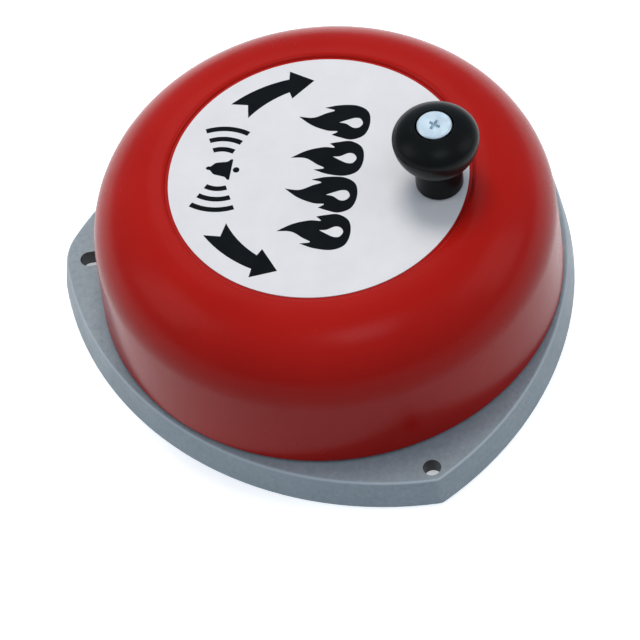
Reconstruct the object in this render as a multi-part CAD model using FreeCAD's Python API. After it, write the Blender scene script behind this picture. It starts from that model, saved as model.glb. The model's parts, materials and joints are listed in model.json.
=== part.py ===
import FreeCAD, Part
import math
import os

# Hand-cranked fire alarm bell for a wall.
#
# Frame: origin on the spindle axis at the wall plane, +Z out of the wall along the spindle,
# +Y towards the slotted fixing corner, which is the top of the bell.  Millimetres throughout.
#
# Turning the gong by its knob drives a pinion at four times the speed.  The pinion whirls two
# loose hammers, which fly out and strike the inside of the gong wall.

V = FreeCAD.Vector
Z_AXIS = V(0, 0, 1)

# ---------------------------------------------------------------- base casting
BASE_HEIGHT = 14.4          # wall plane to top face
BASE_CORNER_R = 119.0       # spindle axis to a sharp corner of the top face
BASE_EDGE_R = 101.6         # spindle axis to the middle of a bowed edge
BASE_DRAFT = 2.4            # the side spreads by this much down to the wall
BASE_CREASE = 1.3           # rounding between top face and side
SLOT_CORNER_ROUND = 26.0
HOLE_CORNER_ROUND = 5.0
BASE_SKIN = 4.0
BASE_WALL = 3.0
RIB_COUNT = 3
RIB_THICKNESS = 3.5
FIXING_R = 112.4            # spindle axis to the round fixing holes
FIXING_HOLE_R = 3.8
FIXING_PAD_R = 9.0
FIXING_PAD_THICKNESS = 8.0
SLOT_OUTER_AT = V(-3.3, 107.6, 0)     # centre of the slot's outer end
SLOT_TRAVEL = 8.0
SLOT_LEAN = 16.5            # degrees that the slot leans off the upright
CORNER_ANGLES = (90.0, 210.0, 330.0)
BOSS_R = 20.0               # under the top face, around the spindle
SPINDLE_HOLE_BOTTOM = 4.5
STRIKER_BOSS_R = 11.0
STRIKER_BOSS_THICKNESS = 6.0

# ---------------------------------------------------------------- gong
GONG_R = 100.0
GONG_THICKNESS = 2.0
GONG_RIM_Z = 15.6
GONG_SPRING_R = 98.3        # where the tapering wall meets the big shoulder
GONG_SPRING_Z = 48.9
GONG_SHOULDER = 32.2        # radius of the big shoulder
RECESS_R = 64.2             # dished seat of the label
RECESS_Z = 79.5
GONG_BORE_R = 11.0
LABEL_R = 62.85
LABEL_THICKNESS = 0.5

# ---------------------------------------------------------------- spindle and hub
SPINDLE_STUD_R = 6.0
SPINDLE_STUD_BOTTOM = 5.0
LOCKNUT_FLATS = 19.0
LOCKNUT_TOP = BASE_HEIGHT + 6.0
PILLAR_R = 7.0
COLLAR_R = 9.0
COLLAR_HEIGHT = 3.0
WASHER_RIM = 1.0            # a thrust washer's overhang past the collar under it
SHOULDER_Z = 40.0           # top of the spindle's thrust collar
JOURNAL_R = 5.0
JOURNAL_TOP = 72.4
SPINDLE_TIP_R = 4.0
SPINDLE_TIP_Z = 78.9
HUB_BOTTOM = 42.0
HUB_SPIGOT_R = 13.0
HUB_BARREL_R = 14.0
HUB_FLANGE_R = 23.0
HUB_FLANGE_THICKNESS = 4.0
HUB_TOP = RECESS_Z - GONG_THICKNESS
BUSH_OUTER_R = 7.0
BUSH_LENGTH = 10.0
COUNTERBORE_Z = 72.0
RIVET_CIRCLE_R = 17.0
RIVET_COUNT = 4
RIVET_R = 2.0
RIVET_HEAD_R = 3.8
RIVET_TAIL_R = 3.3          # the end formed over below the hub's flange
RIVET_HEAD_HEIGHT = 1.5
RETAINING_WASHER_THICKNESS = 1.6
RETAINING_NUT_FLATS = 13.0
RETAINING_NUT_HEIGHT = 4.2

# ---------------------------------------------------------------- gear pair
MODULE = 1.5
GEAR_TEETH = 66
PINION_TEETH = 16
PRESSURE_ANGLE = math.radians(20)
FLANK_RELIEF = 0.1          # taken off each flank, for backlash
DEDENDUM = 1.25             # in modules
GEAR_BOTTOM = 44.0
GEAR_TOP = 48.0
PINION_BOTTOM = 43.5
PINION_TOP = 48.5
GEAR_SCREW_CIRCLE_R = 18.0
GEAR_SCREW_COUNT = 3
GEAR_SCREW_R = 2.0
GEAR_SCREW_HEAD_R = 3.6
GEAR_SCREW_HEAD_HEIGHT = 2.4
WINDOW_COUNT = 6
WINDOW_CIRCLE_R = 35.0
WINDOW_R = 7.5
CENTRE_DISTANCE = MODULE * (GEAR_TEETH + PINION_TEETH) / 2

# ---------------------------------------------------------------- striker
STRIKER_AT = V(0, CENTRE_DISTANCE, 0)
POST_R = 3.0
POST_COLLAR_R = 6.0
POST_COLLAR_TOP = 20.5
POST_TOP = 51.0
POST_BOTTOM = 2.2
POST_LEAD = 0.5
POST_WASHER_THICKNESS = 1.2
POST_NUT_FLATS = 10.0
POST_NUT_HEIGHT = 4.0
GROOVE_R = 2.5
CIRCLIP_Z = 48.85
CIRCLIP_THICKNESS = 0.9
CIRCLIP_R = 5.4
CIRCLIP_MOUTH = 3.4
SLEEVE_R = 6.0
SLEEVE_BOTTOM = 21.6
PLATE_THICKNESS = 2.0
LOWER_PLATE_Z = 22.5
UPPER_PLATE_Z = 38.5
PLATE_HALF_WIDTH = 7.0
PIN_ORBIT_R = 15.0
PIN_R = 2.0
PIN_HEAD_R = 3.2
PIN_HEAD_HEIGHT = 0.9
HAMMER_ARM = 13.0
HAMMER_HEAD_R = 6.8
HAMMER_EYE_R = 4.6
HAMMER_FLOAT = 0.5          # space above and below a hammer, between the rotor plates
HAMMER_WEB = 7.0
HAMMER_WEB_INSET = 3.0      # the web is this much lower than the eye and head, top and bottom
HAMMER_BEVEL = 0.8

# ---------------------------------------------------------------- knob
KNOB_AT = V(0, -51.0, 0)
LABEL_TOP = RECESS_Z + LABEL_THICKNESS
KNOB_FOOT_Z = LABEL_TOP + 0.6
KNOB_NECK_R = 9.9
KNOB_NECK_TOP = LABEL_TOP + 13.4
KNOB_BELLY_R = 17.8
KNOB_BELLY_Z = LABEL_TOP + 29.2
KNOB_BELLY_DROP = 17.0      # belly's half height below its widest point
KNOB_CROWN_RISE = 9.0       # and above it
KNOB_DISH_R = 7.9
KNOB_DISH_FLOOR = LABEL_TOP + 34.4
KNOB_DISH_DRAFT = 0.3
KNOB_LIP = 0.5              # width and drop of the dish's rounded lip
KNOB_NECK_GROOVE = 0.35     # depth of the waist between neck and belly
KNOB_SLEEVE_R = 4.5
KNOB_SCREW_R = 3.0
KNOB_SCREW_SEAT = KNOB_DISH_FLOOR + 0.3
KNOB_SCREW_BOTTOM = 69.5
KNOB_SCREW_HEAD_R = 7.2
KNOB_SCREW_HEAD_TOP = LABEL_TOP + 37.7
KNOB_ROUNDING = 0.6         # of the knob's foot, the screw's tip and its head
CROSS_SPAN = 5.4
CROSS_WING = 1.3
CROSS_DEPTH = 2.4
CROSS_CORE_R = 1.1
CROSS_TURN = 65.0           # degrees that the driver recess stands turned
KNOB_NUT_FLATS = 10.0
KNOB_NUT_HEIGHT = 5.0
BACKING_WASHER_R = 6.5
BACKING_WASHER_THICKNESS = 1.6
THRUST_WASHER_R = 7.6
THRUST_WASHER_THICKNESS = 0.4

# ---------------------------------------------------------------- fits
RUNNING = 0.06              # radial clearance of a turning fit
LOOSE = 0.2                 # radial clearance of a bolt in its hole
END_FLOAT = 0.1
PAST = 1.0                  # how far a cutter runs past the face that it opens


# ================================================================ helpers
def polar(radius, degrees, z=0.0):
    """Point at a radius and angle about the Z axis."""
    angle = math.radians(degrees)
    return V(radius * math.cos(angle), radius * math.sin(angle), z)


def rod(radius, bottom, top, at=V(0, 0, 0)):
    return Part.makeCylinder(radius, top - bottom, V(at.x, at.y, bottom))


def ring(outer, inner, bottom, top, at=V(0, 0, 0)):
    return rod(outer, bottom, top, at).cut(rod(inner, bottom - PAST, top + PAST, at))


def block(length, width, bottom, top):
    """Upright block centred on the Z axis."""
    return Part.makeBox(length, width, top - bottom, V(-length / 2, -width / 2, bottom))


def turned(start, *moves, at=V(0, 0, 0)):
    """Solid of revolution about Z.

    The outline runs through (radius, height) points.  A move is the next point, or a pair of
    points where the outline is an arc: a point on the way and the end of the arc.
    """
    edges = []
    here = V(start[0], 0, start[1])
    for move in moves:
        if isinstance(move[0], tuple):
            via = V(move[0][0], 0, move[0][1])
            there = V(move[1][0], 0, move[1][1])
            edges.append(Part.Arc(here, via, there).toShape())
        else:
            there = V(move[0], 0, move[1])
            edges.append(Part.LineSegment(here, there).toShape())
        here = there
    edges.append(Part.LineSegment(here, V(start[0], 0, start[1])).toShape())
    solid = Part.Face(Part.Wire(edges)).revolve(V(0, 0, 0), Z_AXIS, 360)
    solid.translate(at)
    return solid


def around(shape, count, first=0.0, about=V(0, 0, 0)):
    """Copies of a shape spaced evenly about an upright axis."""
    copies = []
    for index in range(count):
        copy = shape.copy()
        copy.rotate(about, Z_AXIS, first + 360.0 * index / count)
        copies.append(copy)
    return copies


def hexagon(flats, bottom, top, at=V(0, 0, 0)):
    """Hexagonal nut blank with its corners turned off at both ends."""
    corner = flats / math.sqrt(3)
    points = [polar(corner, 60 * index, bottom) for index in range(7)]
    prism = Part.Face(Part.makePolygon(points)).extrude(V(0, 0, top - bottom))
    bevel = corner - flats / 2
    blank = turned((0, bottom), (flats / 2, bottom), (corner, bottom + bevel / 2),
                   (corner, top - bevel / 2), (flats / 2, top), (0, top))
    nut = prism.common(blank)
    nut.translate(at)
    return nut


def nut(flats, bore, bottom, top, at=V(0, 0, 0)):
    return hexagon(flats, bottom, top, at).cut(rod(bore, bottom - PAST, top + PAST, at))


def stadium(half_width, travel, bottom, top, at, heading):
    """Upright prism with round ends: a disc swept from one centre along a heading."""
    far = at + polar(travel, heading)
    middle = block(travel, 2 * half_width, bottom, top)
    middle.translate(V(travel / 2, 0, 0))
    middle.rotate(V(0, 0, 0), Z_AXIS, heading)
    middle.translate(at)
    ends = [rod(half_width, bottom, top, at), rod(half_width, bottom, top, far)]
    return middle.multiFuse(ends).removeSplitter()


# ================================================================ base casting
def base_outline(corner_r, edge_r, z, spread=0.0):
    """Three bowed edges and three rounded corners, as a closed wire of six arcs.

    Each edge is an arc whose centre lies beyond the axis, opposite the edge's middle.
    """
    corner_r = corner_r + spread
    edge_r = edge_r + spread
    offset = (edge_r ** 2 - corner_r ** 2) / (corner_r - 2 * edge_r)
    bow = edge_r + offset
    edges = []
    for index, corner in enumerate(CORNER_ANGLES):
        rounding = SLOT_CORNER_ROUND if index == 0 else HOLE_CORNER_ROUND
        next_round = SLOT_CORNER_ROUND if index == 2 else HOLE_CORNER_ROUND
        before = corner_touch(corner, corner - 60, offset, bow, rounding)
        after = corner_touch(corner, corner + 60, offset, bow, rounding)
        tip = polar(corner_centre(offset, bow, rounding) + rounding, corner)
        next_touch = corner_touch(corner + 120, corner + 60, offset, bow, next_round)
        edges.append(Part.Arc(before, tip, after).toShape())
        edges.append(Part.Arc(after, polar(edge_r, corner + 60), next_touch).toShape())
    wire = Part.Wire(edges)
    wire.translate(V(0, 0, z))
    return wire


def corner_centre(offset, bow, rounding):
    """Distance from the axis to the centre of a corner's rounding."""
    return math.sqrt((bow - rounding) ** 2 - 0.75 * offset ** 2) - offset / 2


def corner_touch(corner, edge_middle, offset, bow, rounding):
    """Point where a corner's rounding runs into the bowed edge beside it."""
    edge_centre = polar(-offset, edge_middle)
    round_centre = polar(corner_centre(offset, bow, rounding), corner)
    outward = round_centre - edge_centre
    outward.normalize()
    return edge_centre + outward * bow


def slot_cutter(half_width, bottom, top):
    """The fixing slot runs inwards from near the corner, leaning off the upright."""
    return stadium(half_width, SLOT_TRAVEL, bottom, top, SLOT_OUTER_AT, SLOT_LEAN - 90)


def base_cavity():
    """Hollow under the casting, less the ribs, bosses and screw pads that stand in it."""
    roof = BASE_HEIGHT - BASE_SKIN
    pad_z = BASE_HEIGHT - FIXING_PAD_THICKNESS
    inner = base_outline(BASE_CORNER_R, BASE_EDGE_R, 0.0, -BASE_WALL)
    cavity = Part.Face(inner).extrude(V(0, 0, roof))
    rib = block(BASE_CORNER_R, RIB_THICKNESS, 0, roof)
    rib.translate(V(BASE_CORNER_R / 2, 0, 0))
    kept = around(rib, RIB_COUNT, CORNER_ANGLES[0] - 60)
    kept.append(rod(BOSS_R, 0, roof))
    kept.append(rod(STRIKER_BOSS_R, BASE_HEIGHT - STRIKER_BOSS_THICKNESS, roof, STRIKER_AT))
    kept.append(slot_cutter(FIXING_PAD_R, pad_z, roof))
    for corner in CORNER_ANGLES[1:]:
        kept.append(rod(FIXING_PAD_R, pad_z, roof, polar(FIXING_R, corner)))
    return cavity.cut(kept)


def base_plate():
    foot = base_outline(BASE_CORNER_R, BASE_EDGE_R, 0.0, BASE_DRAFT)
    crest = base_outline(BASE_CORNER_R, BASE_EDGE_R, BASE_HEIGHT)
    casting = Part.makeLoft([foot, crest], True, True)
    crease = [e for e in casting.Edges if e.BoundBox.ZMin > BASE_HEIGHT - 0.01]
    casting = casting.makeFillet(BASE_CREASE, crease)
    cuts = [
        base_cavity(),
        rod(SPINDLE_STUD_R, SPINDLE_HOLE_BOTTOM, BASE_HEIGHT + PAST),
        rod(POST_R + LOOSE, 0, BASE_HEIGHT + PAST, STRIKER_AT),
        slot_cutter(FIXING_HOLE_R, -PAST, BASE_HEIGHT + PAST),
    ]
    for corner in CORNER_ANGLES[1:]:
        cuts.append(rod(FIXING_HOLE_R, -PAST, BASE_HEIGHT + PAST, polar(FIXING_R, corner)))
    return casting.cut(cuts)


# ================================================================ spindle
def spindle():
    """Fixed axle: a stud in the base, a pillar with a collar, the journal and a threaded tip."""
    lead = 0.8
    return turned((0, SPINDLE_STUD_BOTTOM), (SPINDLE_STUD_R - lead, SPINDLE_STUD_BOTTOM),
                  (SPINDLE_STUD_R, SPINDLE_STUD_BOTTOM + lead), (SPINDLE_STUD_R, LOCKNUT_TOP),
                  (PILLAR_R, LOCKNUT_TOP), (PILLAR_R, SHOULDER_Z - COLLAR_HEIGHT),
                  (COLLAR_R, SHOULDER_Z - COLLAR_HEIGHT), (COLLAR_R, SHOULDER_Z),
                  (JOURNAL_R, SHOULDER_Z), (JOURNAL_R, JOURNAL_TOP), (SPINDLE_TIP_R, JOURNAL_TOP),
                  (SPINDLE_TIP_R, SPINDLE_TIP_Z - lead), (SPINDLE_TIP_R - lead, SPINDLE_TIP_Z),
                  (0, SPINDLE_TIP_Z))


def spindle_locknut():
    return nut(LOCKNUT_FLATS, SPINDLE_STUD_R, BASE_HEIGHT, LOCKNUT_TOP)


def hub_thrust_washer():
    return ring(COLLAR_R + WASHER_RIM, JOURNAL_R + RUNNING, SHOULDER_Z, HUB_BOTTOM - END_FLOAT)


def retaining_washer():
    top = JOURNAL_TOP + RETAINING_WASHER_THICKNESS
    return ring(COLLAR_R, SPINDLE_TIP_R, JOURNAL_TOP, top)


def retaining_nut():
    bottom = JOURNAL_TOP + RETAINING_WASHER_THICKNESS
    return nut(RETAINING_NUT_FLATS, SPINDLE_TIP_R, bottom, bottom + RETAINING_NUT_HEIGHT)


# ================================================================ gong
def gong_shell():
    """Pressed steel dome: tapering wall, big round shoulder, curled lip and a dished seat."""
    half = GONG_THICKNESS / 2
    centre_r = GONG_SPRING_R - GONG_SHOULDER
    lip_r = RECESS_R + GONG_THICKNESS
    inner_shoulder = GONG_SHOULDER - GONG_THICKNESS
    lip_z = GONG_SPRING_Z + math.sqrt(inner_shoulder ** 2 - (lip_r - centre_r) ** 2)
    lip_angle = math.acos((lip_r - centre_r) / inner_shoulder)
    lip_outer = (lip_r + GONG_THICKNESS * math.cos(lip_angle),
                 lip_z + GONG_THICKNESS * math.sin(lip_angle))
    slant = math.cos(math.radians(45))
    lip_crest = (lip_r - GONG_THICKNESS * slant, lip_z + GONG_THICKNESS * slant)
    lip_foot = (lip_r - math.sqrt(GONG_THICKNESS ** 2 - (RECESS_Z - lip_z) ** 2), RECESS_Z)
    under_z = RECESS_Z - GONG_THICKNESS
    corner = 1.0
    corner_via = (lip_r - corner * (1 - slant), under_z + corner * (1 - slant))
    shell = turned((GONG_BORE_R, under_z), (lip_r - corner, under_z),
                   (corner_via, (lip_r, under_z + corner)), (lip_r, lip_z),
                   ((centre_r + inner_shoulder * slant, GONG_SPRING_Z + inner_shoulder * slant),
                    (GONG_SPRING_R - GONG_THICKNESS, GONG_SPRING_Z)),
                   (GONG_R - GONG_THICKNESS, GONG_RIM_Z + half),
                   ((GONG_R - half, GONG_RIM_Z), (GONG_R, GONG_RIM_Z + half)),
                   (GONG_SPRING_R, GONG_SPRING_Z),
                   ((centre_r + GONG_SHOULDER * slant, GONG_SPRING_Z + GONG_SHOULDER * slant), lip_outer),
                   (lip_crest, lip_foot), (GONG_BORE_R, RECESS_Z))
    screw_hole = rod(KNOB_SCREW_R + LOOSE, under_z - PAST, RECESS_Z + PAST, KNOB_AT)
    return shell.cut([screw_hole, hub_rivets()])


def label_disc():
    disc = rod(LABEL_R, RECESS_Z, LABEL_TOP)
    return disc.cut(rod(KNOB_SCREW_R + LOOSE, RECESS_Z - PAST, LABEL_TOP + PAST, KNOB_AT))


def hub_rivets():
    """Countersunk rivets, flush with the dished seat so that the label lies flat over them."""
    flange_bottom = HUB_TOP - HUB_FLANGE_THICKNESS
    head = RIVET_HEAD_HEIGHT
    centre = V(RIVET_CIRCLE_R, 0, 0)
    rivet = turned((0, flange_bottom - head), (RIVET_R, flange_bottom - head),
                   (RIVET_TAIL_R, flange_bottom - head / 2), (RIVET_TAIL_R, flange_bottom),
                   (RIVET_R, flange_bottom), (RIVET_R, RECESS_Z - head), (RIVET_HEAD_R, RECESS_Z),
                   (0, RECESS_Z), at=centre)
    return Part.makeCompound(around(rivet, RIVET_COUNT, first=45))


def gong_hub():
    upper_flange = HUB_TOP - HUB_FLANGE_THICKNESS
    lower_flange = GEAR_TOP + HUB_FLANGE_THICKNESS
    hub = turned((BUSH_OUTER_R, HUB_BOTTOM), (HUB_SPIGOT_R, HUB_BOTTOM), (HUB_SPIGOT_R, GEAR_TOP),
                 (HUB_FLANGE_R, GEAR_TOP), (HUB_FLANGE_R, lower_flange), (HUB_BARREL_R, lower_flange),
                 (HUB_BARREL_R, upper_flange), (HUB_FLANGE_R, upper_flange), (HUB_FLANGE_R, HUB_TOP),
                 (GONG_BORE_R, HUB_TOP), (GONG_BORE_R, COUNTERBORE_Z), (BUSH_OUTER_R, COUNTERBORE_Z))
    return hub.cut([hub_rivets(), gear_screws()])


def hub_bush(bottom):
    return ring(BUSH_OUTER_R, JOURNAL_R + RUNNING, bottom, bottom + BUSH_LENGTH)


# ================================================================ gear pair
def involute(roll):
    return math.tan(roll) - roll


def flank_angle(teeth, radius):
    """Angle from a tooth's centre line to its flank at a radius."""
    pitch_r = MODULE * teeth / 2
    base_r = pitch_r * math.cos(PRESSURE_ANGLE)
    at_pitch = math.pi / (2 * teeth) - FLANK_RELIEF / pitch_r
    roll = math.acos(min(1.0, base_r / radius))
    return at_pitch + involute(PRESSURE_ANGLE) - involute(roll)


def toothed_disc(teeth, phase, bottom, top):
    """Spur gear blank; a tooth is centred on the phase angle, in degrees."""
    pitch_r = MODULE * teeth / 2
    tip_r = pitch_r + MODULE
    root_r = pitch_r - DEDENDUM * MODULE
    start_r = max(root_r, pitch_r * math.cos(PRESSURE_ANGLE))
    mid_r = (start_r + tip_r) / 2
    spread = {r: math.degrees(flank_angle(teeth, r)) for r in (start_r, mid_r, tip_r)}
    pitch = 360.0 / teeth
    edges = []
    for index in range(teeth):
        centre = phase + index * pitch
        rise = [polar(r, centre - spread[r]) for r in (start_r, mid_r, tip_r)]
        fall = [polar(r, centre + spread[r]) for r in (tip_r, mid_r, start_r)]
        root_in = polar(root_r, centre - spread[start_r])
        root_out = polar(root_r, centre + spread[start_r])
        next_root = polar(root_r, centre + pitch - spread[start_r])
        if start_r > root_r:
            edges.append(Part.LineSegment(root_in, rise[0]).toShape())
        edges.append(Part.Arc(*rise).toShape())
        edges.append(Part.Arc(rise[2], polar(tip_r, centre), fall[0]).toShape())
        edges.append(Part.Arc(*fall).toShape())
        if start_r > root_r:
            edges.append(Part.LineSegment(fall[2], root_out).toShape())
        edges.append(Part.Arc(root_out, polar(root_r, centre + pitch / 2), next_root).toShape())
    face = Part.Face(Part.Wire(edges))
    face.translate(V(0, 0, bottom))
    return face.extrude(V(0, 0, top - bottom))


def drive_gear():
    gear = toothed_disc(GEAR_TEETH, 90, GEAR_BOTTOM, GEAR_TOP)
    window = rod(WINDOW_R, GEAR_BOTTOM - PAST, GEAR_TOP + PAST, V(WINDOW_CIRCLE_R, 0, 0))
    bore = rod(HUB_SPIGOT_R, GEAR_BOTTOM - PAST, GEAR_TOP + PAST)
    return gear.cut([bore, gear_screws()] + around(window, WINDOW_COUNT))


def gear_screws():
    """Pan-head screws that hold the drive gear up against the hub's lower flange."""
    head_r = GEAR_SCREW_HEAD_R
    crown = GEAR_BOTTOM - GEAR_SCREW_HEAD_HEIGHT
    bevel = 1.0
    short_of_face = 0.5
    tip = GEAR_TOP + HUB_FLANGE_THICKNESS - short_of_face
    screw = turned((0, crown), (head_r - bevel, crown), (head_r, crown + bevel), (head_r, GEAR_BOTTOM),
                   (GEAR_SCREW_R, GEAR_BOTTOM), (GEAR_SCREW_R, tip), (0, tip),
                   at=V(GEAR_SCREW_CIRCLE_R, 0, 0))
    return Part.makeCompound(around(screw, GEAR_SCREW_COUNT, first=30))


# ================================================================ striker
def striker_post():
    """Fixed stud that the striker rotor turns on, with a collar and a circlip groove."""
    stud = BASE_HEIGHT
    groove_top = CIRCLIP_Z + CIRCLIP_THICKNESS
    return turned((0, POST_BOTTOM), (POST_R, POST_BOTTOM), (POST_R, stud), (POST_COLLAR_R, stud),
                  (POST_COLLAR_R, POST_COLLAR_TOP), (POST_R, POST_COLLAR_TOP), (POST_R, CIRCLIP_Z),
                  (GROOVE_R, CIRCLIP_Z), (GROOVE_R, groove_top), (POST_R, groove_top),
                  (POST_R, POST_TOP - POST_LEAD), (POST_R - POST_LEAD, POST_TOP), (0, POST_TOP),
                  at=STRIKER_AT)


def striker_post_washer():
    top = BASE_HEIGHT - STRIKER_BOSS_THICKNESS
    return ring(2 * POST_R, POST_R + LOOSE, top - POST_WASHER_THICKNESS, top, STRIKER_AT)


def striker_post_nut():
    top = BASE_HEIGHT - STRIKER_BOSS_THICKNESS - POST_WASHER_THICKNESS
    return nut(POST_NUT_FLATS, POST_R, top - POST_NUT_HEIGHT, top, STRIKER_AT)


def rotor_thrust_washer():
    return ring(POST_COLLAR_R + WASHER_RIM, POST_R + RUNNING, POST_COLLAR_TOP,
                SLEEVE_BOTTOM - END_FLOAT, STRIKER_AT)


def rotor_circlip():
    """Open spring ring in the post's groove; its mouth faces away from the gong's axis."""
    top = CIRCLIP_Z + CIRCLIP_THICKNESS
    clip = ring(CIRCLIP_R, GROOVE_R, CIRCLIP_Z, top)
    mouth = block(2 * CIRCLIP_R, CIRCLIP_MOUTH, CIRCLIP_Z - PAST, top + PAST)
    mouth.translate(V(CIRCLIP_R, 0, 0))
    clip = clip.cut(mouth)
    clip.rotate(V(0, 0, 0), Z_AXIS, 90)
    clip.translate(STRIKER_AT)
    return clip


def striker_pinion():
    """Pinion and its long sleeve, in one piece; a gap between teeth faces the drive gear."""
    half_pitch = 180.0 / PINION_TEETH
    pinion = toothed_disc(PINION_TEETH, 270 + half_pitch, PINION_BOTTOM, PINION_TOP)
    sleeve = rod(SLEEVE_R, SLEEVE_BOTTOM, PINION_BOTTOM)
    pinion = pinion.fuse(sleeve).cut(rod(POST_R + RUNNING, SLEEVE_BOTTOM - PAST, PINION_TOP + PAST))
    pinion.translate(STRIKER_AT)
    return pinion


def rotor_plate(bottom):
    plate = stadium(PLATE_HALF_WIDTH, 2 * PIN_ORBIT_R, bottom, bottom + PLATE_THICKNESS,
                    V(-PIN_ORBIT_R, 0, 0), 0)
    cuts = [rod(SLEEVE_R, bottom - PAST, bottom + PLATE_THICKNESS + PAST)]
    pin_hole = rod(PIN_R, bottom - PAST, bottom + PLATE_THICKNESS + PAST, V(PIN_ORBIT_R, 0, 0))
    plate = plate.cut(cuts + around(pin_hole, 2))
    plate.translate(STRIKER_AT)
    return plate


def hammer_pins():
    """The two pins that the hammers swing on, riveted over outside both rotor plates."""
    top = UPPER_PLATE_Z + PLATE_THICKNESS
    low = LOWER_PLATE_Z - PIN_HEAD_HEIGHT
    high = top + PIN_HEAD_HEIGHT
    centre = V(PIN_ORBIT_R, 0, 0)
    pin = turned((0, low), (PIN_R, low), (PIN_HEAD_R, LOWER_PLATE_Z), (PIN_R, LOWER_PLATE_Z),
                 (PIN_R, top), (PIN_HEAD_R, top), (PIN_R, high), (0, high), at=centre)
    pins = Part.makeCompound(around(pin, 2))
    pins.translate(STRIKER_AT)
    return pins


def hammer(side):
    """Swinging hammer: an eye on the rotor pin, a web and a round striking head."""
    bottom = LOWER_PLATE_Z + PLATE_THICKNESS + HAMMER_FLOAT
    top = UPPER_PLATE_Z - HAMMER_FLOAT
    bevel = HAMMER_BEVEL
    head_at = V(PIN_ORBIT_R + HAMMER_ARM, 0, 0)
    eye_at = V(PIN_ORBIT_R, 0, 0)
    head = turned((0, bottom), (HAMMER_HEAD_R - bevel, bottom), (HAMMER_HEAD_R, bottom + bevel),
                  (HAMMER_HEAD_R, top - bevel), (HAMMER_HEAD_R - bevel, top), (0, top), at=head_at)
    web = block(HAMMER_ARM, HAMMER_WEB, bottom + HAMMER_WEB_INSET, top - HAMMER_WEB_INSET)
    web.translate(V(PIN_ORBIT_R + HAMMER_ARM / 2, 0, 0))
    eye = rod(HAMMER_EYE_R, bottom, top, eye_at)
    body = eye.multiFuse([web, head]).cut(rod(PIN_R + RUNNING, bottom - PAST, top + PAST, eye_at))
    body.rotate(V(0, 0, 0), Z_AXIS, side)
    body.translate(STRIKER_AT)
    return body


# ================================================================ knob
def belly_arc(half_height, inner_r, above):
    """Quarter of the knob's oval outline, from the widest point to a smaller radius."""
    sign = 1 if above else -1
    turn = math.acos(inner_r / KNOB_BELLY_R)
    points = []
    for angle in (0.0, turn / 4, turn / 2, 3 * turn / 4, turn):
        height = KNOB_BELLY_Z + sign * half_height * math.sin(angle)
        points.append(V(KNOB_BELLY_R * math.cos(angle), 0, height))
    curve = Part.BSplineCurve()
    curve.interpolate(points)
    return curve.toShape(), points[-1]


def knob():
    """Mushroom grip: neck, oval belly and a dish in the crown for the screw head."""
    bore = KNOB_SLEEVE_R + RUNNING
    rounding = KNOB_ROUNDING
    lower, neck_join = belly_arc(KNOB_BELLY_DROP, KNOB_NECK_R + KNOB_NECK_GROOVE / 2, False)
    upper, rim = belly_arc(KNOB_CROWN_RISE, KNOB_DISH_R + KNOB_LIP, True)
    path = [V(KNOB_DISH_R, 0, rim.z - KNOB_LIP), V(KNOB_DISH_R - KNOB_DISH_DRAFT, 0, KNOB_DISH_FLOOR),
            V(bore, 0, KNOB_DISH_FLOOR), V(bore, 0, KNOB_FOOT_Z),
            V(KNOB_NECK_R - rounding, 0, KNOB_FOOT_Z)]
    slant = rounding * (1 - math.cos(math.radians(45)))
    foot_via = V(KNOB_NECK_R - slant, 0, KNOB_FOOT_Z + slant)
    foot_end = V(KNOB_NECK_R, 0, KNOB_FOOT_Z + rounding)
    neck_top = V(KNOB_NECK_R, 0, KNOB_NECK_TOP)
    groove = V(KNOB_NECK_R - KNOB_NECK_GROOVE, 0, (KNOB_NECK_TOP + neck_join.z) / 2)
    rim_via = V(KNOB_DISH_R + KNOB_LIP / 5, 0, rim.z - KNOB_LIP / 5)
    edges = [lower, upper, Part.Arc(rim, rim_via, path[0]).toShape()]
    for start, end in zip(path, path[1:]):
        edges.append(Part.LineSegment(start, end).toShape())
    edges.append(Part.Arc(path[-1], foot_via, foot_end).toShape())
    edges.append(Part.LineSegment(foot_end, neck_top).toShape())
    edges.append(Part.Arc(neck_top, groove, neck_join).toShape())
    outline = Part.Wire(Part.__sortEdges__(edges))
    grip = Part.Face(outline).revolve(V(0, 0, 0), Z_AXIS, 360)
    grip.translate(KNOB_AT)
    return grip


def knob_sleeve():
    return ring(KNOB_SLEEVE_R, KNOB_SCREW_R + LOOSE, LABEL_TOP, KNOB_SCREW_SEAT, KNOB_AT)


def knob_thrust_washer():
    return ring(THRUST_WASHER_R, KNOB_SLEEVE_R, LABEL_TOP, LABEL_TOP + THRUST_WASHER_THICKNESS, KNOB_AT)


def cross_recess():
    """Driver recess: two crossed wings that taper to a point."""
    deep = KNOB_SCREW_HEAD_TOP - CROSS_DEPTH
    wings = block(CROSS_SPAN, CROSS_WING, deep, KNOB_SCREW_HEAD_TOP + PAST)
    other = block(CROSS_WING, CROSS_SPAN, deep, KNOB_SCREW_HEAD_TOP + PAST)
    core = rod(CROSS_CORE_R, deep, KNOB_SCREW_HEAD_TOP + PAST)
    taper = turned((0, deep), (CROSS_WING / 2, deep), (CROSS_SPAN / 2, KNOB_SCREW_HEAD_TOP),
                   (CROSS_SPAN / 2, KNOB_SCREW_HEAD_TOP + PAST), (0, KNOB_SCREW_HEAD_TOP + PAST))
    return wings.multiFuse([other, core]).common(taper)


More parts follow.
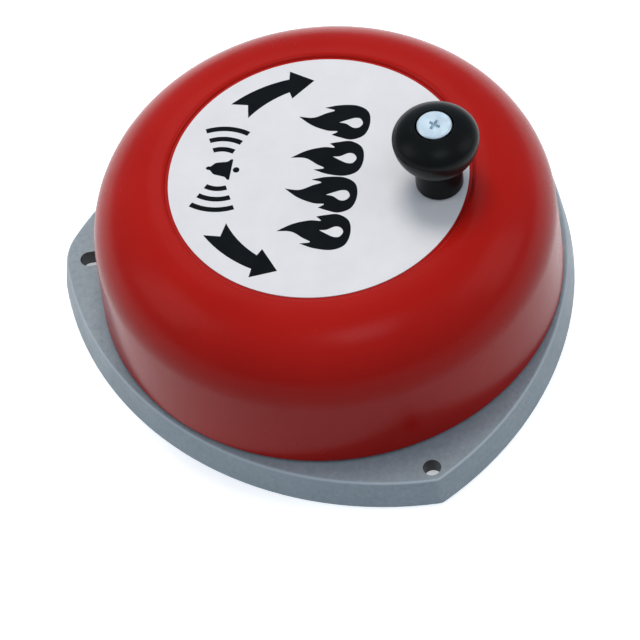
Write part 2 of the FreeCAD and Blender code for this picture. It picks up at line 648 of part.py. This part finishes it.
def knob_screw():
    seat = KNOB_SCREW_SEAT
    top = KNOB_SCREW_HEAD_TOP
    rounding = KNOB_ROUNDING
    slant = rounding * (1 - math.cos(math.radians(45)))
    edge = KNOB_SCREW_HEAD_R
    screw = turned((0, KNOB_SCREW_BOTTOM), (KNOB_SCREW_R - rounding, KNOB_SCREW_BOTTOM),
                   (KNOB_SCREW_R, KNOB_SCREW_BOTTOM + rounding), (KNOB_SCREW_R, seat), (edge, seat),
                   (edge, top - rounding), ((edge - slant, top - slant), (edge - rounding, top)),
                   (0, top))
    screw = screw.cut(cross_recess())
    screw.rotate(V(0, 0, 0), Z_AXIS, CROSS_TURN)
    screw.translate(KNOB_AT)
    return screw


def knob_backing_washer():
    return ring(BACKING_WASHER_R, KNOB_SCREW_R + LOOSE, HUB_TOP - BACKING_WASHER_THICKNESS, HUB_TOP, KNOB_AT)


def knob_nut():
    top = HUB_TOP - BACKING_WASHER_THICKNESS
    return nut(KNOB_NUT_FLATS, KNOB_SCREW_R, top - KNOB_NUT_HEIGHT, top, KNOB_AT)


# ================================================================ assembly
def assembly():
    return {
        "base_plate": base_plate(),
        "spindle": spindle(),
        "spindle_locknut": spindle_locknut(),
        "hub_thrust_washer": hub_thrust_washer(),
        "retaining_washer": retaining_washer(),
        "retaining_nut": retaining_nut(),
        "gong_shell": gong_shell(),
        "label_disc": label_disc(),
        "gong_hub": gong_hub(),
        "hub_rivets": hub_rivets(),
        "hub_bush_lower": hub_bush(HUB_BOTTOM),
        "hub_bush_upper": hub_bush(COUNTERBORE_Z - BUSH_LENGTH),
        "drive_gear": drive_gear(),
        "gear_screws": gear_screws(),
        "knob": knob(),
        "knob_sleeve": knob_sleeve(),
        "knob_thrust_washer": knob_thrust_washer(),
        "knob_screw": knob_screw(),
        "knob_backing_washer": knob_backing_washer(),
        "knob_nut": knob_nut(),
        "striker_post": striker_post(),
        "striker_post_washer": striker_post_washer(),
        "striker_post_nut": striker_post_nut(),
        "rotor_thrust_washer": rotor_thrust_washer(),
        "rotor_circlip": rotor_circlip(),
        "striker_pinion": striker_pinion(),
        "rotor_plate_lower": rotor_plate(LOWER_PLATE_Z),
        "rotor_plate_upper": rotor_plate(UPPER_PLATE_Z),
        "hammer_pins": hammer_pins(),
        "hammer_a": hammer(0),
        "hammer_b": hammer(180),
    }


os.makedirs("parts", exist_ok=True)
for name, shape in assembly().items():
    shape.exportStep(f"parts/{name}.step")
    print(f"{name:22} solids {len(shape.Solids)}  volume {shape.Volume:10.1f}  valid {shape.isValid()}")
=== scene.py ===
import json
import math

import bpy
from mathutils import Matrix, Vector


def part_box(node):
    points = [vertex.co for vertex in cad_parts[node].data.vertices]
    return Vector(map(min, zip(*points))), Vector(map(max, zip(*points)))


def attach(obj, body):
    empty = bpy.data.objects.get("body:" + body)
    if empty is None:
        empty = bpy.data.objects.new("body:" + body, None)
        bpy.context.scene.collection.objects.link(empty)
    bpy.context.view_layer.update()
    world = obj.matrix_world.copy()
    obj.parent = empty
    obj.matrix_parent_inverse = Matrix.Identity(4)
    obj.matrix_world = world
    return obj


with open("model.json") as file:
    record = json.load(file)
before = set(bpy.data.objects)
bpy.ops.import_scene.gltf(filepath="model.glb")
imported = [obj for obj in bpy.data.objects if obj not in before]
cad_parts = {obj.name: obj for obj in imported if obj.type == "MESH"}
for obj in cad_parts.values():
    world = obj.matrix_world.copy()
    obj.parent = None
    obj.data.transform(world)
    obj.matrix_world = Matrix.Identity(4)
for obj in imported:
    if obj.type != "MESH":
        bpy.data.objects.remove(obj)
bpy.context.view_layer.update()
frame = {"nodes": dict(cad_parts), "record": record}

# ------------------------------------------------------------------ sizes, in metres
LABEL_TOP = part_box("label_disc")[1].z
KNOB_LOW, KNOB_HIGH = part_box("knob")
KNOB_AXIS = (KNOB_LOW + KNOB_HIGH) / 2
SPINDLE_AXIS = Vector((0.0, 0.0, 0.0))
INK_THICKNESS = 0.00006
FIXING_BORE_R = 0.0046      # reach of the painted shade in the fixing holes: a little more than the radius of the fixing holes and the slot's ends
SLOT_TRAVEL = 0.008         # between the centres of the fixing slot's round ends
SLOT_LEAN = math.radians(16.5)

# ------------------------------------------------------------------ camera
CAMERA_AZIMUTH = math.radians(-74.04)
CAMERA_ELEVATION = math.radians(53.95)
CAMERA_ROLL = math.radians(9.07)
CAMERA_DISTANCE = 1.2633
CAMERA_AIM = Vector((-0.0386, -0.0020, 0.0305))
CAMERA_LENS = 168.8         # millimetres, as the sensor is
CAMERA_SENSOR = 36.0


def view_direction(azimuth, elevation):
    """Unit vector from the object towards a camera at this azimuth and elevation."""
    flat = math.cos(elevation)
    return Vector((math.sin(azimuth) * flat, -math.cos(azimuth) * flat, math.sin(elevation)))


def add_camera():
    data = bpy.data.cameras.new("camera")
    data.lens = CAMERA_LENS
    data.sensor_width = CAMERA_SENSOR
    camera = bpy.data.objects.new("camera", data)
    back = view_direction(CAMERA_AZIMUTH, CAMERA_ELEVATION)
    upright = back.to_track_quat("Z", "Y").to_matrix()
    turned = upright @ Matrix.Rotation(-CAMERA_ROLL, 3, "Z")
    camera.matrix_world = Matrix.LocRotScale(CAMERA_AIM + back * CAMERA_DISTANCE, turned, None)
    bpy.context.scene.collection.objects.link(camera)
    bpy.context.scene.camera = camera


# ------------------------------------------------------------------ node helpers
NOISE_LOW = 0.3             # most of a noise texture's values lie between these two
NOISE_HIGH = 0.7
UPRIGHT_LIMIT = 0.3         # a surface whose normal rises less than this counts as upright
CREASE_RISE = (0.3, 0.5)    # the painted highlight on a rounded edge fades in over this rise of the normal
CREASE_FALL = (0.97, 0.88)  # and is faded out over this one, near the level top


def colour(red, green, blue):
    return (red, green, blue, 1.0)


class Shader:
    """A material being built: its node tree, its surface shader and its object coordinates."""

    def __init__(self, name):
        self.material = bpy.data.materials.new(name)
        self.material.use_nodes = True
        self.nodes = self.material.node_tree.nodes
        self.links = self.material.node_tree.links
        self.surface = self.nodes["Principled BSDF"]
        self.place = self.nodes.new("ShaderNodeTexCoord").outputs["Object"]

    def add(self, kind, inputs=None, **settings):
        node = self.nodes.new(kind)
        for key, value in settings.items():
            setattr(node, key, value)
        for key, value in (inputs or {}).items():
            self.feed(node.inputs[key], value)
        return node

    def feed(self, socket, value):
        if isinstance(value, bpy.types.NodeSocket):
            self.links.new(value, socket)
        else:
            socket.default_value = value

    def set(self, **values):
        """Sets the surface shader's sockets; a name's underscores stand for spaces."""
        for key, value in values.items():
            self.feed(self.surface.inputs[key.replace("_", " ")], value)

    def noise(self, scale, detail=3.0, roughness=0.5, place=None):
        node = self.add("ShaderNodeTexNoise", {"Vector": place or self.place, "Scale": scale,
                                               "Detail": detail, "Roughness": roughness})
        return node.outputs["Fac"]

    def speckle(self, scale):
        node = self.add("ShaderNodeTexVoronoi", {"Vector": self.place, "Scale": scale})
        return node.outputs["Distance"]

    def spread(self, value, low, high, out_low=0.0, out_high=1.0):
        """Maps a value's stretch from low to high onto another stretch, clamped."""
        node = self.add("ShaderNodeMapRange", {"Value": value, "From Min": low, "From Max": high,
                                               "To Min": out_low, "To Max": out_high})
        return node.outputs["Result"]

    def between(self, noise, low, high):
        """A noise's usual stretch, mapped onto low to high."""
        return self.spread(noise, NOISE_LOW, NOISE_HIGH, low, high)

    def blend(self, factor, first, second):
        node = self.add("ShaderNodeMix", data_type="RGBA")
        self.feed(node.inputs[0], factor)
        self.feed(node.inputs[6], first)
        self.feed(node.inputs[7], second)
        return node.outputs[2]

    def clouded(self, noise, dark, light):
        """Two colours mixed by a noise."""
        return self.blend(self.between(noise, 0.0, 1.0), colour(*dark), colour(*light))

    def calc(self, operation, first, second=0.0):
        node = self.add("ShaderNodeMath", {0: first, 1: second}, operation=operation)
        return node.outputs[0]

    def bump(self, height, distance, strength=1.0, under=None):
        inputs = {"Height": height, "Distance": distance, "Strength": strength}
        if under is not None:
            inputs["Normal"] = under
        return self.add("ShaderNodeBump", inputs).outputs["Normal"]

    def stretched(self, x, y, z):
        """Object coordinates scaled along each axis."""
        node = self.add("ShaderNodeMapping", {"Vector": self.place, "Scale": (x, y, z)})
        return node.outputs["Vector"]

    def about(self, centre):
        """Object coordinates measured from an upright axis through a point."""
        node = self.add("ShaderNodeVectorMath", {0: self.place, 1: (-centre.x, -centre.y, 0.0)},
                        operation="ADD")
        return node.outputs[0]

    def distance_from(self, axis):
        """Level distance from an upright axis through a point."""
        flat = self.add("ShaderNodeVectorMath", {0: self.about(axis), 1: (1.0, 1.0, 0.0)},
                        operation="MULTIPLY").outputs[0]
        return self.add("ShaderNodeVectorMath", {0: flat}, operation="LENGTH").outputs["Value"]

    def rings(self, centre, scale):
        """Turning marks: fine circles around an upright axis."""
        node = self.add("ShaderNodeTexWave", {"Vector": self.about(centre), "Scale": scale,
                                              "Distortion": 0.4, "Detail": 3.0},
                        wave_type="RINGS", rings_direction="Z")
        return node.outputs["Fac"]

    def rise(self):
        """How far the surface faces up: 1 on a level top, 0 on an upright side."""
        normal = self.add("ShaderNodeTexCoord").outputs["Normal"]
        return self.add("ShaderNodeSeparateXYZ", {0: normal}).outputs["Z"]

    def painted_crease_highlight(self):
        """Where the surface faces between upright and level, the rounded edge under the top face: the
        mask for a painted highlight.
        """
        rise = self.rise()
        return self.calc("MULTIPLY", self.spread(rise, *CREASE_RISE), self.spread(rise, *CREASE_FALL))

    def painted_bore_shade(self, axes, radius):
        """Inside walls of upright holes, facing sideways and close to one of the holes' axes: where
        shade is painted.
        """
        inside = 0.0
        for axis in axes:
            near = self.calc("LESS_THAN", self.distance_from(axis), radius)
            inside = self.calc("ADD", inside, near)
        sideways = self.calc("LESS_THAN", self.calc("ABSOLUTE", self.rise()), UPRIGHT_LIMIT)
        return self.calc("MULTIPLY", self.calc("MINIMUM", inside, 1.0), sideways)


# ------------------------------------------------------------------ materials
def red_paint():
    """Gloss enamel on pressed steel: slight orange peel, cloudy gloss and a little dust."""
    s = Shader("red_enamel")
    cloud = s.spread(s.noise(9.0, detail=4.0, roughness=0.55), 0.35, 0.7)
    base = s.blend(cloud, colour(0.37, 0.008, 0.005), colour(0.43, 0.011, 0.007))
    specks = s.spread(s.speckle(900.0), 0.08, 0.03)
    patches = s.spread(s.noise(30.0), 0.5, 0.75, 0.0, 0.35)
    base = s.blend(s.calc("MULTIPLY", specks, patches), base, colour(0.5, 0.16, 0.13))
    rough = s.between(s.noise(26.0, detail=5.0, roughness=0.6), 0.2, 0.29)
    peel = s.noise(420.0, detail=2.0, roughness=0.45)
    waves = s.noise(34.0, detail=2.0, roughness=0.4)
    grain = s.noise(240.0, detail=2.0, roughness=0.6)
    skin = s.bump(peel, distance=0.00006, strength=0.55)
    skin = s.bump(waves, distance=0.0006, strength=0.25, under=skin)
    skin = s.bump(grain, distance=0.00002, strength=0.4, under=skin)
    s.set(Base_Color=base, Roughness=rough, Normal=skin, Specular_IOR_Level=0.1)
    return s.material


def fixing_axes():
    """Axes of the base's wall fixings: its two round holes, and three places along its slot."""
    mounts = {mount["name"]: mount for mount in frame["record"]["mounts"]}
    holes = mounts["fixing_holes"]
    half = holes["dims"]["spacing_x_mm"] / 2000
    axes = [Vector((side * half, holes["pos_m"][1], 0.0)) for side in (-1, 1)]
    slot = Vector((mounts["fixing_slot"]["pos_m"][0], mounts["fixing_slot"]["pos_m"][1], 0.0))
    along = Vector((math.sin(SLOT_LEAN), -math.cos(SLOT_LEAN), 0.0)) * SLOT_TRAVEL / 2
    return axes + [slot - along, slot, slot + along]


def grey_casting():
    """Semi-gloss grey paint over a die casting: pebbled skin, a painted highlight on the rounded
    edges, painted shade inside the fixing holes.
    """
    s = Shader("grey_casting_paint")
    cloud = s.noise(14.0, detail=4.0, roughness=0.6)
    base = s.clouded(cloud, (0.26, 0.307, 0.335), (0.315, 0.37, 0.4))
    grain = s.noise(520.0, detail=4.0, roughness=0.65)
    base = s.blend(s.spread(grain, 0.5, 0.3, 0.0, 0.5), base, colour(0.2, 0.237, 0.26))
    base = s.blend(s.spread(grain, 0.55, 0.75, 0.0, 0.5), base, colour(0.4, 0.45, 0.48))
    # painted highlight along the rounded edge under the top face, picked out by which way the surface
    # faces
    base = s.blend(s.painted_crease_highlight(), base, colour(0.42, 0.475, 0.51))
    # painted shade: near-black colour on the inside walls of the fixing holes and the slot
    base = s.blend(s.painted_bore_shade(fixing_axes(), FIXING_BORE_R), base, colour(0.035, 0.038, 0.043))
    rough = s.between(s.noise(60.0, detail=4.0), 0.36, 0.5)
    pebble = s.bump(s.noise(750.0, roughness=0.6), distance=0.00012, strength=0.5)
    skin = s.bump(s.noise(60.0), distance=0.0005, strength=0.25, under=pebble)
    s.set(Base_Color=base, Roughness=rough, Normal=skin, IOR=1.5)
    return s.material


def label_plate():
    """Printed plate: silver-white lacquer with a faint mottle and hairline scratches."""
    s = Shader("label_silver_white")
    mottle = s.noise(70.0, detail=5.0, roughness=0.6)
    base = s.clouded(mottle, (0.685, 0.67, 0.68), (0.73, 0.715, 0.72))
    scratch = s.noise(60.0, detail=2.0, place=s.stretched(1.0, 22.0, 1.0))
    base = s.blend(s.spread(scratch, 0.66, 0.76, 0.0, 0.25), base, colour(0.6, 0.62, 0.66))
    rough = s.between(s.noise(120.0, detail=4.0), 0.3, 0.42)
    skin = s.bump(s.noise(600.0, roughness=0.6), distance=0.00003, strength=0.5)
    s.set(Base_Color=base, Roughness=rough, Normal=skin, Specular_IOR_Level=0.3)
    return s.material


def black_ink():
    """Screen-printed ink: matte black, very slightly uneven."""
    s = Shader("black_print")
    base = s.clouded(s.noise(90.0, detail=4.0), (0.004, 0.005, 0.006), (0.006, 0.008, 0.009))
    rough = s.between(s.noise(200.0), 0.38, 0.5)
    skin = s.bump(s.noise(1500.0), distance=0.00001, strength=0.5)
    s.set(Base_Color=base, Roughness=rough, Normal=skin, Specular_IOR_Level=0.05)
    return s.material


def black_grip():
    """Moulded phenolic knob: satin black, with faint scratches around it."""
    s = Shader("black_moulding")
    cloud = s.noise(60.0, detail=4.0, roughness=0.6)
    base = s.clouded(cloud, (0.003, 0.0035, 0.0035), (0.005, 0.006, 0.006))
    scratch = s.noise(140.0, roughness=0.6, place=s.stretched(1.0, 1.0, 9.0))
    base = s.blend(s.spread(scratch, 0.68, 0.78, 0.0, 0.5), base, colour(0.04, 0.043, 0.043))
    rough = s.between(s.noise(95.0, detail=5.0, roughness=0.6), 0.26, 0.38)
    skin = s.bump(s.noise(1400.0, detail=2.0), distance=0.00002, strength=0.5)
    s.set(Base_Color=base, Roughness=rough, Normal=skin, Specular_IOR_Level=0.12)
    return s.material


TURNING_SCALE = 900.0
TARNISH_SHADE = 0.55        # of the metal's dark colour
SMOOTHEST = 0.8             # of the metal's stated roughness
DULLEST = 1.25


def turned_metal(name, dark, light, axis, roughness, tarnish=0.15):
    """Machined or plated metal with turning marks about an upright axis and a cloudy tarnish."""
    s = Shader(name)
    base = s.clouded(s.noise(160.0, detail=4.0, roughness=0.6), dark, light)
    stain = s.spread(s.noise(420.0), 0.6, 0.75, 0.0, tarnish)
    base = s.blend(stain, base, colour(*[TARNISH_SHADE * c for c in dark]))
    rough = s.between(s.noise(240.0), roughness * SMOOTHEST, roughness * DULLEST)
    marks = s.bump(s.rings(axis, TURNING_SCALE), distance=0.00001, strength=0.15)
    s.set(Base_Color=base, Metallic=1.0, Roughness=rough, Normal=marks)
    return s.material


def nylon():
    """Natural nylon: warm white, slightly translucent."""
    s = Shader("natural_nylon")
    base = s.clouded(s.noise(120.0), (0.66, 0.64, 0.56), (0.74, 0.72, 0.65))
    rough = s.between(s.noise(300.0), 0.4, 0.55)
    skin = s.bump(s.noise(900.0), distance=0.00002, strength=0.5)
    s.set(Base_Color=base, Roughness=rough, Subsurface_Weight=0.1, Normal=skin)
    return s.material


def paint_nodes():
    """Gives every CAD node a finished material by its slot in the record."""
    finishes = {
        "grey_casting": grey_casting(),
        "red_paint": red_paint(),
        "label_plate": label_plate(),
        "black_grip": black_grip(),
        "zinc_plate": turned_metal("zinc_plated", (0.70, 0.79, 0.85), (0.77, 0.86, 0.91),
                                   KNOB_AXIS, roughness=0.36, tarnish=0.05),
        "bare_steel": turned_metal("machined_steel", (0.42, 0.42, 0.43), (0.56, 0.56, 0.57),
                                   SPINDLE_AXIS, roughness=0.3),
        "bronze": turned_metal("sintered_bronze", (0.45, 0.27, 0.12), (0.6, 0.38, 0.18),
                               SPINDLE_AXIS, roughness=0.42, tarnish=0.5),
        "brass": turned_metal("machined_brass", (0.66, 0.46, 0.16), (0.8, 0.6, 0.26),
                              SPINDLE_AXIS, roughness=0.26),
        "nylon": nylon(),
    }
    for part in frame["record"]["subparts"]:
        node = frame["nodes"][part["node"]]
        node.data.materials.clear()
        node.data.materials.append(finishes[part["material_slot"]])


# ------------------------------------------------------------------ printing on the label
def smooth_loop(points, steps=8):
    """Closed curve through points of (x, y, is a sharp point); a sharp point keeps its corner."""
    loop = []
    count = len(points)
    for i in range(count):
        p0, p1, p2, p3 = (Vector(points[(i + k) % count][:2]) for k in (-1, 0, 1, 2))
        leave = (p2 - p1) if points[i][2] else (p2 - p0) / 2
        arrive = (p2 - p1) if points[(i + 1) % count][2] else (p3 - p1) / 2
        for step in range(steps):
            t = step / steps
            a = 2 * t ** 3 - 3 * t ** 2 + 1
            b = t ** 3 - 2 * t ** 2 + t
            c = -2 * t ** 3 + 3 * t ** 2
            d = t ** 3 - t ** 2
            loop.append(a * p1 + b * leave + c * p2 + d * arrive)
    return loop


def placed_loop(outline, width, height, middle, foot):
    """A one-unit outline, smoothed, scaled and set on the label by its middle and its foot."""
    return [Vector((middle + width * p.x, foot + height * p.y)) for p in smooth_loop(outline)]


def arc_points(radius, start, end, steps, centre=(0.0, 0.0)):
    """Points on an arc, angles in degrees."""
    points = []
    for step in range(steps + 1):
        angle = math.radians(start + (end - start) * step / steps)
        x = centre[0] + radius * math.cos(angle)
        y = centre[1] + radius * math.sin(angle)
        points.append(Vector((x, y)))
    return points


def print_mark(name, loops, ink):
    """A thin printed shape on the label, from closed loops of points; inner loops are holes."""
    data = bpy.data.curves.new(name, "CURVE")
    data.dimensions = "2D"
    data.fill_mode = "BOTH"
    data.extrude = INK_THICKNESS / 2
    for loop in loops:
        spline = data.splines.new("POLY")
        spline.points.add(len(loop) - 1)
        for point, place in zip(spline.points, loop):
            point.co = (place[0], place[1], 0.0, 1.0)
        spline.use_cyclic_u = True
    curve = bpy.data.objects.new(name + "_outline", data)
    mesh = bpy.data.meshes.new_from_object(curve)
    bpy.data.objects.remove(curve)
    mesh.transform(Matrix.Translation((0.0, 0.0, LABEL_TOP + INK_THICKNESS / 2)))
    mesh.materials.clear()
    mesh.materials.append(ink)
    mark = bpy.data.objects.new(name, mesh)
    bpy.context.scene.collection.objects.link(mark)
    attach(mark, "gong")


ARROW_TAIL = 50.7           # angles in degrees from +X, radii in metres from the spindle axis
ARROW_TAIL_OUTER_R = 0.0551
ARROW_TAIL_INNER_R = 0.0442
ARROW_NOTCH = (45.4, 0.0498)
ARROW_NECK = 22.6
ARROW_NECK_SKEW = 0.9
ARROW_NECK_OUTER_R = 0.0541
ARROW_NECK_INNER_R = 0.0472
ARROW_BARB_OUTER = (20.5, 0.0583)
ARROW_BARB_INNER = (23.2, 0.0435)
ARROW_TIP = (10.4, 0.0513)
ARROW_STEPS = 16


def ray_point(angle, radius):
    return Vector((radius * math.cos(math.radians(angle)), radius * math.sin(math.radians(angle))))


def arrow_edge(tail_r, neck_r, neck):
    """One long edge of the arrow, from its swallow tail to its neck."""
    edge = []
    for step in range(ARROW_STEPS + 1):
        share = step / ARROW_STEPS
        angle = ARROW_TAIL + (neck - ARROW_TAIL) * share
        edge.append(ray_point(angle, tail_r + (neck_r - tail_r) * share))
    return edge


def direction_arrow(side):
    """Curved arrow that runs from beside the top down one side: side is 1 for +X, -1 for -X."""
    outer = arrow_edge(ARROW_TAIL_OUTER_R, ARROW_NECK_OUTER_R, ARROW_NECK - ARROW_NECK_SKEW)
    inner = arrow_edge(ARROW_TAIL_INNER_R, ARROW_NECK_INNER_R, ARROW_NECK + ARROW_NECK_SKEW)
    head = [ray_point(*ARROW_BARB_OUTER), ray_point(*ARROW_TIP), ray_point(*ARROW_BARB_INNER)]
    points = outer + head + inner[::-1] + [ray_point(*ARROW_NOTCH)]
    return [Vector((side * p.x, p.y)) for p in points]


# a flame one unit tall and about half a unit wide: (x, y, is a sharp point)
FLAME_OUTLINE = [
    (0.00, 0.00, False), (0.20, 0.05, False), (0.295, 0.21, False), (0.27, 0.38, False),
    (0.235, 0.50, True), (0.17, 0.43, False), (0.165, 0.58, False), (0.09, 0.80, False),
    (-0.045, 1.00, True), (-0.04, 0.80, False), (-0.13, 0.63, False), (-0.19, 0.52, False),
    (-0.225, 0.66, True), (-0.285, 0.46, False), (-0.295, 0.22, False), (-0.20, 0.05, False),
]
FLAME_HEART = [
    (0.01, 0.10, False), (0.08, 0.145, False), (0.09, 0.225, False), (0.03, 0.33, False),
    (0.015, 0.43, True), (-0.04, 0.32, False), (-0.08, 0.22, False), (-0.07, 0.14, False),
]
FLAME_COUNT = 4
FLAME_PITCH = 0.0193
FLAME_HEIGHT = 0.0305
FLAME_WIDTH = 1.02 * FLAME_HEIGHT
FLAME_FOOT_Y = -0.0178


def flame(index):
    """One flame of the row across the middle; every second one is mirrored."""
    middle = (index - (FLAME_COUNT - 1) / 2) * FLAME_PITCH
    side = 1 if index % 2 == 0 else -1
    return [placed_loop(outline, side * FLAME_WIDTH, FLAME_HEIGHT, middle, FLAME_FOOT_Y)
            for outline in (FLAME_OUTLINE, FLAME_HEART)]


# a bell one unit tall and one unit wide: (x, y, is a sharp point)
BELL_OUTLINE = [
    (-0.50, 0.00, True), (0.50, 0.00, True), (0.50, 0.09, True), (0.38, 0.20, False),
    (0.33, 0.42, False), (0.27, 0.66, False), (0.10, 0.82, False), (0.08, 0.93, False),
    (0.00, 1.00, False), (-0.08, 0.93, False), (-0.10, 0.82, False), (-0.27, 0.66, False),
    (-0.33, 0.42, False), (-0.38, 0.20, False), (-0.50, 0.09, True),
]
BELL_HEIGHT = 0.0108
BELL_FOOT_Y = 0.0368
CLAPPER_R = 0.0014
CLAPPER_Y = BELL_FOOT_Y - 0.0021
CLAPPER_STEPS = 24
WAVE_Y = BELL_FOOT_Y + 0.45 * BELL_HEIGHT
WAVE_HALF_WIDTH = 0.0012
WAVE_RADII = (0.0105, 0.0160, 0.0215)
WAVE_SPREAD = 25.0          # degrees each way
WAVE_STEPS = 14


def bell_mark():
    """A plain bell with its clapper."""
    bell = placed_loop(BELL_OUTLINE, BELL_HEIGHT, BELL_HEIGHT, 0.0, BELL_FOOT_Y)
    clapper = arc_points(CLAPPER_R, 180, 540, CLAPPER_STEPS, (0.0, CLAPPER_Y))[:-1]
    return [bell, clapper]


def sound_wave(radius, side):
    """A thick arc beside the bell."""
    centre = (0.0, WAVE_Y)
    middle = 0 if side > 0 else 180
    low = middle - WAVE_SPREAD
    high = middle + WAVE_SPREAD
    outer = arc_points(radius + WAVE_HALF_WIDTH, low, high, WAVE_STEPS, centre)
    inner = arc_points(radius - WAVE_HALF_WIDTH, high, low, WAVE_STEPS, centre)
    return outer + inner


def print_label():
    ink = black_ink()
    for side, name in ((1, "right"), (-1, "left")):
        print_mark(f"arrow_{name}", [direction_arrow(side)], ink)
        for index, radius in enumerate(WAVE_RADII):
            print_mark(f"wave_{name}_{index}", [sound_wave(radius, side)], ink)
    for index in range(FLAME_COUNT):
        print_mark(f"flame_{index}", flame(index), ink)
    print_mark("bell_mark", bell_mark(), ink)


# ------------------------------------------------------------------ studio
FLOOR_SIZE = 6.0
FLOOR_GLOW = 0.4
LIGHT_AIM = Vector((0.0, 0.0, 0.05))
SKY = colour(0.74, 0.86, 1.0)
SKY_STRENGTH = 0.45
WHITE = (1.0, 1.0, 1.0)
WARM = (1.0, 0.95, 0.89)
COOL = (0.85, 0.92, 1.0)
PALE_COOL = (0.88, 0.96, 1.0)


def floor():
    """Pale floor that glows a little and sends no bounced light onto the bell."""
    bpy.ops.mesh.primitive_plane_add(size=FLOOR_SIZE, location=(0.0, 0.0, 0.0))
    plane = bpy.context.object
    plane.name = "floor"
    s = Shader("pale_floor")
    base = s.clouded(s.noise(3.0), (0.95, 0.95, 0.95), (0.97, 0.97, 0.97))
    s.set(Base_Color=base, Roughness=0.75, Specular_IOR_Level=0.2,
          Emission_Color=colour(*WHITE), Emission_Strength=FLOOR_GLOW)
    plane.data.materials.append(s.material)
    plane.visible_diffuse = False


def softbox(name, azimuth, elevation, distance, size, power, tint=WHITE, glossy=True):
    """Soft light aimed at the bell, placed by direction; glossy says if it shows in reflections."""
    data = bpy.data.lights.new(name, "AREA")
    data.shape = "RECTANGLE"
    data.size = size[0]
    data.size_y = size[1]
    data.energy = power
    data.color = tint
    light = bpy.data.objects.new(name, data)
    back = view_direction(math.radians(azimuth), math.radians(elevation))
    turned = back.to_track_quat("Z", "Y")
    light.matrix_world = Matrix.LocRotScale(LIGHT_AIM + back * distance, turned, None)
    light.visible_glossy = glossy
    bpy.context.scene.collection.objects.link(light)


def studio():
    """Cool sky, a warm key high behind the bell, a card that reflects in it, and three weak lights."""
    world = bpy.data.worlds.new("studio")
    world.use_nodes = True
    background = world.node_tree.nodes["Background"]
    background.inputs["Color"].default_value = SKY
    background.inputs["Strength"].default_value = SKY_STRENGTH
    bpy.context.scene.world = world
    bpy.context.scene.view_settings.view_transform = "Standard"
    softbox("key", 106.0, 74.0, distance=2.2, size=(0.8, 0.8), power=24.0, tint=WARM, glossy=False)
    softbox("card", 106.0, 52.0, distance=2.2, size=(1.4, 1.1), power=4.0, tint=PALE_COOL)
    softbox("front", -60.0, 66.0, distance=2.3, size=(0.7, 0.7), power=5.0, tint=COOL)
    softbox("fill_left", -165.0, 35.0, distance=2.4, size=(1.2, 1.6), power=7.0)
    softbox("fill_right", 10.0, 30.0, distance=2.4, size=(1.2, 1.6), power=7.0)


# ------------------------------------------------------------------ the scene
add_camera()
studio()
floor()
paint_nodes()
print_label()
